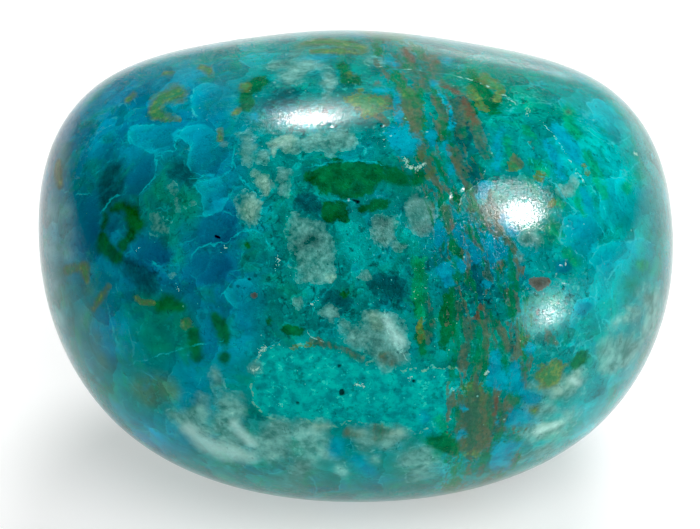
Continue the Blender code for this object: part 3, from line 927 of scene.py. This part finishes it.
def paintPebble(piece, colours):
    face = Face(piece)
    names = sorted(set(minerals) | set(outlines))
    fields = {name: paintStrokes(face, minerals.get(name, [])) for name in names}
    for name, drawn in outlines.items():
        fields[name] = paintOutlines(face, drawn, fields[name])
    ground = paintTints(face, colours)
    paintHidden(face, fields, colours, ground)
    for name, field in fields.items():
        storeNumbers(piece.data, name, field)
    for name, drawn in lines.items():
        side, nearest = paintLines(face, drawn)
        storeNumbers(piece.data, name + "Side", side)
        storeNumbers(piece.data, name + "Near", nearest)
    storeNumbers(piece.data, "cellSide", paintSides(face))
    storeNumbers(piece.data, "shade", paintShades(face, toneAndPaintedLight))
    coarse = paintShades(face, coarseness) + brush["calm"]
    storeNumbers(piece.data, "coarse", np.clip(coarse, brush["leastCoarse"], brush["mostCoarse"]))
    for name, values in zip(["bandAcross", "bandAlong", "band"], bandPlaces(face.points / mm)):
        storeNumbers(piece.data, name, values)
    attribute = piece.data.attributes.new("ground", "FLOAT_COLOR", "POINT")
    painted = np.column_stack([ground, np.ones(len(ground))])
    attribute.data.foreach_set("color", painted.astype(np.float32).ravel())


def colour(red, green, blue):  # from the values a paint box shows, 0 to 255
    def linear(value):
        value /= 255
        return value / 12.92 if value <= 0.04045 else ((value + 0.055) / 1.055) ** 2.4
    return (linear(red), linear(green), linear(blue))


def mixed(box):
    return {name: colour(*shown) for name, shown in box.items()}


groundColours = mixed({
    "teal": (0, 122, 120),
    "blue": (0, 118, 152),
    "brightBlue": (0, 145, 172),
    "deepBlue": (0, 88, 118),
    "darkTeal": (0, 76, 82),
    "seaGreen": (0, 128, 104),
    "brightTeal": (0, 152, 148),
    "skyTint": (0, 134, 168),
    "aqua": (0, 148, 146),
    "brightAqua": (0, 168, 174),
    # the pale tint of the painted reflection along the left rim
    "rimReflectionBlue": (96, 158, 164),
    "greyGreen": (85, 132, 118),
    "oliveTint": (66, 118, 92),
})


class Graph:  # a material's nodes, joined up by name
    def __init__(self, name):
        self.material = bpy.data.materials.new(name)
        self.material.use_nodes = True
        self.nodes = self.material.node_tree.nodes
        self.links = self.material.node_tree.links
        self.shader = self.nodes["Principled BSDF"]
        place = self.add("TexCoord").outputs["Object"]
        toMm = (1 / mm,) * 3
        self.place = self.add("VectorMath", {0: place, 1: toMm}, operation="MULTIPLY").outputs[0]

    def add(self, kind, inputs=None, **settings):
        node = self.nodes.new("ShaderNode" + kind)
        for name, value in settings.items():
            setattr(node, name, value)
        for name, value in (inputs or {}).items():
            self.join(node.inputs[name], value)
        return node

    def join(self, socket, value):
        if isinstance(value, bpy.types.NodeSocket):
            self.links.new(value, socket)
        elif socket.type == "RGBA" and len(value) == 3:
            socket.default_value = (*value, 1)
        else:
            socket.default_value = value

    def calc(self, operation, first, second=0.0, third=0.0):
        return self.add("Math", {0: first, 1: second, 2: third}, operation=operation).outputs[0]

    def times(self, *factors):
        product = factors[0]
        for factor in factors[1:]:
            product = self.calc("MULTIPLY", product, factor)
        return product

    def mix(self, share, under, over, blend="MIX"):
        return self.add("Mix", {0: share, 6: under, 7: over}, data_type="RGBA", blend_type=blend).outputs[2]

    def brighter(self, colour, factor):
        return self.add("VectorMath", {0: colour, 3: factor}, operation="SCALE").outputs[0]

    def step(self, value, low, high, least=0.0, most=1.0):  # from least at low to most at high, smoothly
        inputs = {0: value, 1: low, 2: high, 3: least, 4: most}
        return self.add("MapRange", inputs, interpolation_type="SMOOTHSTEP").outputs[0]

    def split(self, value):
        return self.add("SeparateColor", {0: value}).outputs

    def noise(self, scale, detail=2.0, roughness=0.5, where=None, distortion=0.0):
        inputs = {"Vector": where or self.place, "Scale": scale, "Detail": detail, "Roughness": roughness,
                  "Distortion": distortion}
        return self.add("TexNoise", inputs).outputs["Color"]

    def cells(self, feature, scale, where=None, randomness=1.0):
        inputs = {"Vector": where or self.place, "Scale": scale, "Randomness": randomness}
        return self.add("TexVoronoi", inputs, feature=feature).outputs

    def number(self, name):
        return self.add("Attribute", attribute_name=name).outputs["Fac"]

    def moved(self, push, amount, place=None):  # a place pushed about by a noise colour
        push = self.add("VectorMath", {0: push, 1: (0.5, 0.5, 0.5)}, operation="SUBTRACT").outputs[0]
        push = self.add("VectorMath", {0: push, 3: amount}, operation="SCALE").outputs[0]
        return self.add("VectorMath", {0: place or self.place, 1: push}, operation="ADD").outputs[0]


paint = mixed({  # the colours of what lies in and on the ground
    "greenCloud": (0, 135, 100),
    "blueCloud": (0, 125, 160),
    "darkGrain": (0, 72, 70),
    "lightGrain": (40, 175, 168),
    "wall": (60, 185, 190),
    "fineWall": (70, 190, 185),
    "darkWall": (0, 52, 58),
    "darkTeal": (0, 80, 86),
    "deepCellLit": (0, 112, 138),
    "deepCellShaded": (0, 86, 114),
    "deepCellRim": (20, 155, 170),
    "lightCell": (0, 140, 160),
    "lightCellGlow": (0, 172, 188),
    "lightCellRim": (45, 184, 192),
    "granular": (0, 124, 128),
    "granularBright": (4, 162, 156),
    "granularHaze": (20, 182, 172),
    "granularDark": (0, 100, 98),
    "granularLight": (50, 195, 180),
    "granularRim": (110, 170, 145),
    "quartzClear": (46, 108, 101),
    "quartzCloudy": (110, 174, 166),
    "quartzSugar": (158, 202, 193),
    "quartzRim": (110, 190, 182),
    "cream": (80, 134, 116),
    "creamBright": (138, 178, 160),
    "milk": (160, 204, 198),
    "malachiteDark": (0, 78, 40),
    "malachite": (2, 102, 54),
    "malachiteLeaf": (36, 120, 34),
    "jadeDark": (0, 124, 84),
    "jade": (24, 154, 100),
    "oliveEdge": (86, 100, 54),
    "olive": (56, 122, 72),
    "oliveYellow": (116, 142, 66),
    "oliveGreen": (20, 114, 70),
    "ironDark": (46, 92, 78),
    "iron": (84, 97, 76),
    "ironGreen": (20, 108, 82),
    "bandGreen": (2, 112, 68),
    "rust": (96, 76, 62),
    "sky": (0, 120, 146),
    "skyBright": (0, 152, 175),
    "vein": (45, 180, 186),
    "crack": (150, 215, 205),
    "darkHair": (0, 55, 62),
    "whiteFleck": (165, 210, 195),
    "blackSpot": (0, 26, 30),
    "lightSpeck": (130, 210, 195),
    "darkSpeck": (0, 55, 58),
})
cover = {  # how strongly each mineral hides what is under it
    "darkTeal": 0.75,
    "deepCell": 0.75,
    "lightCell": 0.85,
    "granular": 0.92,
    "cream": 0.65,
    "milk": 0.7,
    "malachite": 0.88,
    "jade": 0.7,
    "bandIron": 0.8,
    "bandGreen": 0.75,
    "rust": 0.75,
    "sky": 0.85,
}
perMm = {  # how fine each pattern is, in repeats to a mm
    "wide": 0.8,
    "mid": 1.9,
    "fine": 4.5,
    "grit": 11,
    "smoke": 0.55,
    "haze": 1.2,
    "block": 1.8,
    "bigCell": 0.5,
    "midCell": 1.3,
    "speck": 2.6,
}
polish = {
    "smoothest": 0.06,
    "roughest": 0.13,
    "ior": 1.3,
    "unevenness": 0.015,  # mm
}


def polishedStone():
    g = Graph("polished chrysocolla")
    bent = g.moved(g.noise(2.4, 2), 0.35, g.moved(g.noise(0.5, 2), 1.5))
    wide = g.split(g.noise(perMm["wide"], 3))
    mid = g.split(g.noise(perMm["mid"], 3, 0.6))
    fine = g.split(g.noise(perMm["fine"], 3, 0.6))
    grit = g.split(g.noise(perMm["grit"], 2, 0.6))
    smoke = g.split(g.noise(perMm["smoke"], 6, 0.62, distortion=0.8))
    haze = g.split(g.noise(perMm["haze"], 5, 0.6, bent))
    block = g.split(g.cells("F1", perMm["block"], bent)["Color"])

    def centred(value, amount):
        return g.calc("MULTIPLY_ADD", value, amount, -amount / 2)

    def total(*values):
        result = values[0]
        for value in values[1:]:
            result = g.calc("ADD", result, value)
        return result

    # clear and crisp in the middle of the broad face, clouded and soft elsewhere
    coarse = g.number("coarse")
    softness = g.step(coarse, 0.25, 0.95, 0.26, 0.085)
    hardness = g.times(softness, -1.0)
    grain = g.step(coarse, 0.2, 0.9, 0.32, 1.0)
    raggedness = []
    for channel in range(3):
        uneven = total(centred(mid[channel], 0.8), centred(fine[(channel + 1) % 3], 0.5))
        raggedness.append(g.times(grain, uneven))

    def inside(name, channel, ragged=1.0, blocky=0.0, wavy=0.5):  # how far into a mineral, in mm
        depth = total(g.number(name), centred(wide[channel], wavy), g.times(raggedness[channel], ragged))
        if blocky:
            depth = total(depth, centred(block[channel], blocky))
        return depth

    def within(depth):  # whether in it, with an edge as soft as the stone is there
        return g.step(depth, hardness, softness)

    def rim(depth, width, gate):
        return g.times(g.step(g.calc("ABSOLUTE", depth), width, 0.0), gate)

    # the ground, clouded and in cells
    surface = g.add("Attribute", attribute_name="ground").outputs["Color"]
    bigCell = g.cells("F1", perMm["bigCell"], bent)
    bigTone = g.split(bigCell["Color"])
    bigEdge = g.cells("DISTANCE_TO_EDGE", perMm["bigCell"], bent)["Distance"]
    fromMiddle = g.add("VectorMath", {0: bent, 1: bigCell["Position"]}, operation="SUBTRACT").outputs[0]
    shadedWay = (0.8, -0.2, -0.5)  # the side of a big cell that lies away from the light
    bigSide = g.add("VectorMath", {0: fromMiddle, 1: shadedWay}, operation="DOT_PRODUCT").outputs["Value"]
    midCell = g.split(g.cells("F1", perMm["midCell"], bent)["Color"])
    midEdge = g.cells("DISTANCE_TO_EDGE", perMm["midCell"], bent)["Distance"]
    surface = g.mix(g.step(smoke[1], 0.48, 0.66, 0, 0.45), surface, paint["greenCloud"])
    surface = g.mix(g.step(smoke[2], 0.5, 0.68, 0, 0.3), surface, paint["blueCloud"])
    tone = total(0.2, g.times(smoke[0], 1.0), g.times(haze[0], 0.6))
    tone = g.times(tone, g.calc("MULTIPLY_ADD", bigTone[0], 0.24, 0.88))
    tone = g.times(tone, g.step(bigSide, -0.9, 0.9, 1.14, 0.86))
    tone = g.times(tone, g.calc("MULTIPLY_ADD", centred(midCell[1], 0.35), coarse, 1.0))
    surface = g.brighter(surface, tone)
    surface = g.mix(g.times(g.step(total(mid[0], centred(fine[2], 0.6)), 0.42, 0.28), coarse, 0.75), surface,
                    paint["darkGrain"])
    surface = g.mix(g.times(g.step(total(mid[2], centred(fine[0], 0.6)), 0.56, 0.72), coarse, 0.6), surface,
                    paint["lightGrain"])
    line = g.times(g.step(bigEdge, 0.04, 0.003), g.step(smoke[2], 0.5, 0.6), 0.28)
    surface = g.mix(line, surface, paint["wall"])
    line = g.times(g.step(midEdge, 0.06, 0.01), g.step(haze[2], 0.53, 0.64), coarse, 0.4)
    surface = g.mix(line, surface, paint["fineWall"])
    dark = g.times(g.step(midEdge, 0.10, 0.0), g.step(haze[1], 0.48, 0.36), coarse, 0.7)
    surface = g.mix(dark, surface, paint["darkWall"])

    # cells, painted lighter on their lit side and darker on the side away from the light: painted light and
    # shade
    mask = within(inside("darkTeal", 0, 1.2, 0.2))
    body = g.brighter(paint["darkTeal"], g.step(mid[2], 0.3, 0.7, 0.65, 1.4))
    surface = g.mix(g.times(mask, cover["darkTeal"]), surface, body)
    side = total(g.number("cellSide"), centred(haze[0], 1.2))
    depth = inside("deepCell", 0, 0.4)
    body = g.mix(g.step(side, -0.8, 0.8), paint["deepCellLit"], paint["deepCellShaded"])
    surface = g.mix(g.times(within(depth), cover["deepCell"]), surface, body)
    surface = g.mix(rim(depth, 0.09, g.step(haze[2], 0.46, 0.62, 0, 0.3)), surface, paint["deepCellRim"])
    depth = inside("lightCell", 1, 0.35)
    body = g.brighter(g.mix(0.35, surface, paint["lightCell"]), g.step(side, -1.0, 0.9, 1.3, 0.78))
    surface = g.mix(g.times(within(depth), cover["lightCell"]), surface, body)
    # painted light: a brighter band just inside each light cell's outline on its lit side
    glow = g.times(g.step(depth, 0.45, 0.0), g.step(depth, -0.03, 0.03), g.step(side, 0.5, -0.7), 0.55)
    surface = g.mix(glow, surface, paint["lightCellGlow"])
    light = g.step(total(haze[2], g.times(side, -0.12)), 0.48, 0.64, 0, 0.55)
    surface = g.mix(rim(depth, 0.055, light), surface, paint["lightCellRim"])

    # granular turquoise
    depth = inside("granular", 2, 0.7, 0.15)
    body = g.mix(g.step(mid[0], 0.38, 0.62), paint["granular"], paint["granularBright"])
    body = g.mix(g.step(haze[1], 0.46, 0.64, 0, 0.5), body, paint["granularHaze"])
    grains = g.step(total(mid[2], centred(fine[2], 0.7)), 0.40, 0.26, 0, 0.65)
    body = g.mix(grains, body, paint["granularDark"])
    grains = g.step(total(mid[1], centred(fine[0], 0.7)), 0.58, 0.74, 0, 0.7)
    body = g.mix(grains, body, paint["granularLight"])
    surface = g.mix(g.times(within(depth), cover["granular"]), surface, body)
    border = g.step(total(fine[0], centred(haze[1], 1.0)), 0.46, 0.6, 0, 0.75)
    surface = g.mix(rim(depth, 0.10, border), surface, paint["granularRim"])

    # quartz
    depth = inside("quartz", 0, 0.7, wavy=1.4)
    mask = g.step(depth, g.times(hardness, 1.8), g.times(softness, 2.2))
    sugar = total(0.12, g.times(haze[0], 0.5), g.times(wide[1], 0.25), g.times(grain, centred(fine[1], 0.25)))
    body = g.mix(g.step(sugar, 0.36, 0.64), paint["quartzClear"], paint["quartzCloudy"])
    body = g.mix(g.step(total(sugar, centred(mid[2], 0.3)), 0.58, 0.74, 0, 0.7), body, paint["quartzSugar"])
    surface = g.mix(g.times(mask, g.step(depth, -0.15, 0.45, 0.5, 0.93)), surface, body)
    surface = g.mix(rim(depth, 0.09, g.step(haze[1], 0.48, 0.64, 0, 0.4)), surface, paint["quartzRim"])
    depth = inside("cream", 1, 0.8, wavy=1.0)
    body = g.mix(g.step(sugar, 0.38, 0.62), paint["cream"], paint["creamBright"])
    mask = g.step(depth, g.times(hardness, 2.0), g.times(softness, 2.6), 0, cover["cream"])
    surface = g.mix(mask, surface, body)
    # milky quartz, and a painted reflection along the lower left
    depth = inside("milk", 2, 0.6)
    surface = g.mix(g.step(depth, -0.5, 0.5, 0, cover["milk"]), surface, paint["milk"])

    # malachite
    mask = within(inside("malachite", 2, 1.1, wavy=0.9))
    cloud = g.step(total(haze[1], centred(mid[0], 0.5)), 0.38, 0.62)
    body = g.mix(cloud, paint["malachiteDark"], paint["malachite"])
    cloud = g.step(total(mid[1], centred(fine[1], 0.6)), 0.56, 0.72, 0, 0.3)
    body = g.mix(cloud, body, paint["malachiteLeaf"])
    surface = g.mix(g.times(mask, cover["malachite"]), surface, body)

    # a brighter green in the clear stone
    mask = within(inside("jade", 0, 1.2, 0.2, 0.8))
    body = g.mix(g.step(total(haze[0], centred(mid[1], 0.5)), 0.38, 0.62), paint["jadeDark"], paint["jade"])
    surface = g.mix(g.times(mask, cover["jade"]), surface, body)

    # olive with brownish edges
    depth = inside("olive", 0, 1.4, wavy=0.6)
    body = g.mix(g.step(total(depth, centred(fine[1], 0.6)), 0.0, 0.3), paint["oliveEdge"], paint["olive"])
    body = g.mix(g.step(total(mid[2], centred(fine[2], 0.5)), 0.5, 0.66, 0, 0.6), body, paint["oliveYellow"])
    body = g.mix(g.step(haze[2], 0.5, 0.62, 0, 0.5), body, paint["oliveGreen"])
    surface = g.mix(g.times(within(depth), g.step(haze[1], 0.34, 0.5, 0.7, 0.92)), surface, body)

    # iron stain in streaks along the band
    across = g.number("bandAcross")
    along = g.number("bandAlong")
    streakPlace = g.add("CombineXYZ", {0: g.times(across, 1.9), 1: g.times(along, 0.42)}).outputs[0]
    streakPlace = g.moved(g.noise(1.2, 2), 0.9, streakPlace)
    streak = g.split(g.noise(1.0, 4, 0.6, streakPlace))
    band = g.step(g.number("band"), -0.6, 0.8)
    chance = g.calc("MULTIPLY_ADD", band, 0.22, -0.16)
    iron = g.step(total(streak[0], chance, centred(fine[0], 0.2)), 0.53, 0.65)
    cloud = g.step(total(streak[1], centred(fine[0], 0.4)), 0.36, 0.62)
    body = g.mix(cloud, paint["ironDark"], paint["iron"])
    body = g.mix(g.step(total(streak[2], centred(mid[0], 0.4)), 0.5, 0.66, 0, 0.75), body, paint["ironGreen"])
    surface = g.mix(g.times(iron, g.step(band, 0, 0.2), cover["bandIron"]), surface, body)
    green = g.step(total(streak[2], chance, centred(fine[1], 0.2)), 0.54, 0.66)
    surface = g.mix(g.times(green, g.step(band, 0, 0.2), cover["bandGreen"]), surface, paint["bandGreen"])
    depth = total(inside("iron", 1, 0.8), centred(streak[0], 1.0))
    mask = g.step(depth, g.times(hardness, 1.4), g.times(softness, 1.8))
    surface = g.mix(g.times(mask, g.step(mid[1], 0.36, 0.56, 0.6, 0.88)), surface, body)
    mask = within(inside("rust", 2, 0.9))
    surface = g.mix(g.times(mask, cover["rust"]), surface, paint["rust"])

    # bright sky blue
    depth = inside("sky", 1, 1.2, 0.15, 0.7)
    body = g.mix(g.step(haze[0], 0.36, 0.62), paint["sky"], paint["skyBright"])
    mask = g.step(depth, g.times(hardness, 1.5), g.times(softness, 1.7))
    surface = g.mix(g.times(mask, cover["sky"]), surface, body)

    # veins and cracks
    drift = total(g.number("veinSide"), centred(mid[1], 0.5), centred(fine[1], 0.15))
    line = g.times(g.step(g.calc("ABSOLUTE", drift), 0.08, 0.01), g.step(g.number("veinNear"), 0.5, 0.3),
                   g.step(haze[2], 0.4, 0.6, 0.08, 0.7))
    surface = g.mix(line, surface, paint["vein"])
    drift = total(g.number("crackSide"), centred(mid[2], 0.35), centred(fine[2], 0.25))
    broken = g.step(total(fine[0], centred(haze[0], 0.6)), 0.46, 0.6, 0.05, 0.75)
    near = g.step(g.number("crackNear"), 0.4, 0.2)
    line = g.times(g.step(g.calc("ABSOLUTE", drift), 0.05, 0.0), near, broken)
    surface = g.mix(line, surface, paint["crack"])
    hair = g.calc("ABSOLUTE", centred(g.split(g.noise(0.9, 3, 0.55, bent))[0], 1.0))
    line = g.times(g.step(hair, 0.008, 0.001), g.step(smoke[0], 0.52, 0.6), 0.6)
    surface = g.mix(line, surface, paint["darkHair"])

    # a mottle over everything
    mottle = total(centred(mid[1], 0.7), centred(fine[2], 0.75), centred(grit[0], 0.55))
    surface = g.brighter(surface, g.calc("MULTIPLY_ADD", mottle, g.step(coarse, 0.2, 1.0, 0.1, 1.0), 1.0))

    # flecks and specks
    depth = total(g.number("white"), centred(fine[0], 1.2), centred(grit[1], 1.4))
    surface = g.mix(g.step(depth, 0.0, 0.14, 0, 0.75), surface, paint["whiteFleck"])
    depth = total(g.number("black"), centred(fine[1], 0.4))
    surface = g.mix(g.step(depth, -0.08, 0.12, 0, 0.9), surface, paint["blackSpot"])
    speck = g.cells("F1", perMm["speck"])
    chosen = g.split(speck["Color"])
    reach = g.calc("MULTIPLY_ADD", chosen[2], 0.12, 0.05)
    dot = g.step(g.calc("SUBTRACT", total(speck["Distance"], centred(grit[0], 0.2)), reach), 0.03, -0.03)
    surface = g.mix(g.times(dot, g.step(chosen[0], 0.90, 0.91), coarse, 0.6), surface, paint["lightSpeck"])
    surface = g.mix(g.times(dot, g.step(chosen[1], 0.86, 0.87), coarse, 0.7), surface, paint["darkSpeck"])

    # lighter and darker places: the stone's own tone, and painted light and shade that lighten its lower part
    # and right and darken its left
    shade = g.number("shade")
    surface = g.brighter(surface, g.calc("MAXIMUM", g.calc("ADD", shade, 1.0), 0.2))

    g.join(g.shader.inputs["Base Color"], surface)
    worn = total(fine[0], centred(grit[1], 0.8))
    g.join(g.shader.inputs["Roughness"], g.step(worn, 0.3, 0.7, polish["smoothest"], polish["roughest"]))
    g.shader.inputs["IOR"].default_value = polish["ior"]
    height = total(g.times(fine[1], 0.4), g.times(grit[2], 0.3))
    dust = total(fine[0], centred(grit[0], 0.8), centred(mid[0], 0.4))
    height = total(height, g.step(dust, 0.6, 0.7, 0, -0.5), g.step(dust, 0.4, 0.3, 0, 0.3))
    bump = g.add("Bump", {"Height": height, "Strength": 1.0, "Distance": polish["unevenness"] * mm})
    g.links.new(bump.outputs["Normal"], g.shader.inputs["Normal"])
    return g.material


addCamera()
addFloor()
addLamps()
addSky()
print("studio ready")
stone = addPebble()
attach(stone, "root")
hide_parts("chrysocolla_pebble")
print("pebble shaped", len(stone.data.vertices), "points")
paintPebble(stone, groundColours)
print("minerals laid in")
stone.data.materials.append(polishedStone())
print("stone polished")
